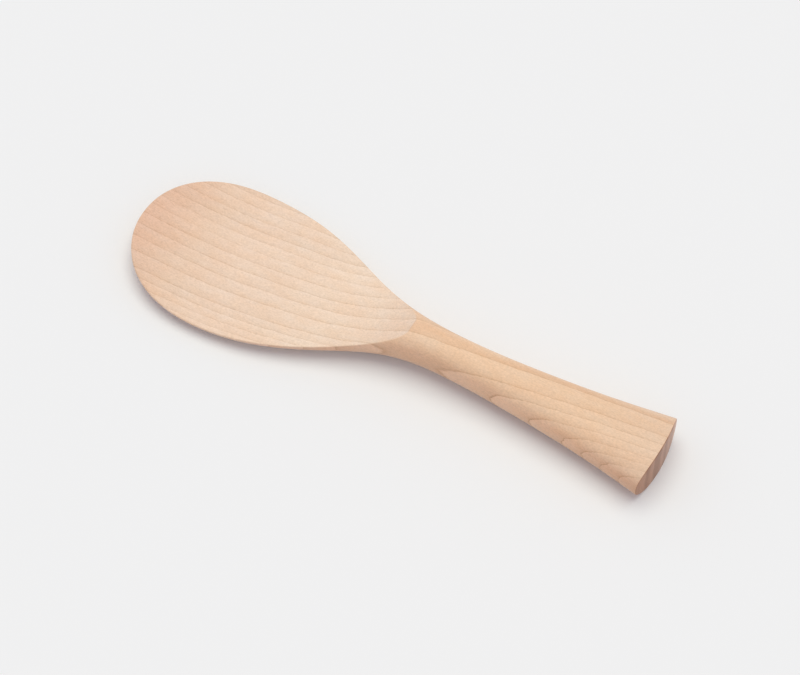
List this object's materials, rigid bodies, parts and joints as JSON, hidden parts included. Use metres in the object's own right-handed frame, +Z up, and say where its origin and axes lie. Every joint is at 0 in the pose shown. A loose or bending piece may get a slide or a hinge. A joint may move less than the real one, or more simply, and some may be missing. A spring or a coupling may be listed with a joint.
{
  "type": "rice paddle",
  "caption": "Wooden rice paddle carved in one piece: broad oval blade with a shallow dished face, narrow waist and a handle that flares to a rounded flat-cut butt.",
  "frame": {"origin": "middle of the bounding box in X and Y, on the surface that the paddle rests on", "axes": "+X along the paddle towards the butt of the handle, the blade's tip is at -X; +Y across the paddle, which is symmetric about Y = 0; +Z up, out of the dished face of the blade"},
  "size_m": [0.2164, 0.0636, 0.0186],
  "materials": {
    "wood": "pale close-grained hardwood, sanded smooth and dry, no varnish"
  },
  "bodies": {
    "root": {"paddle": "wood"}
  },
  "joints": []
}
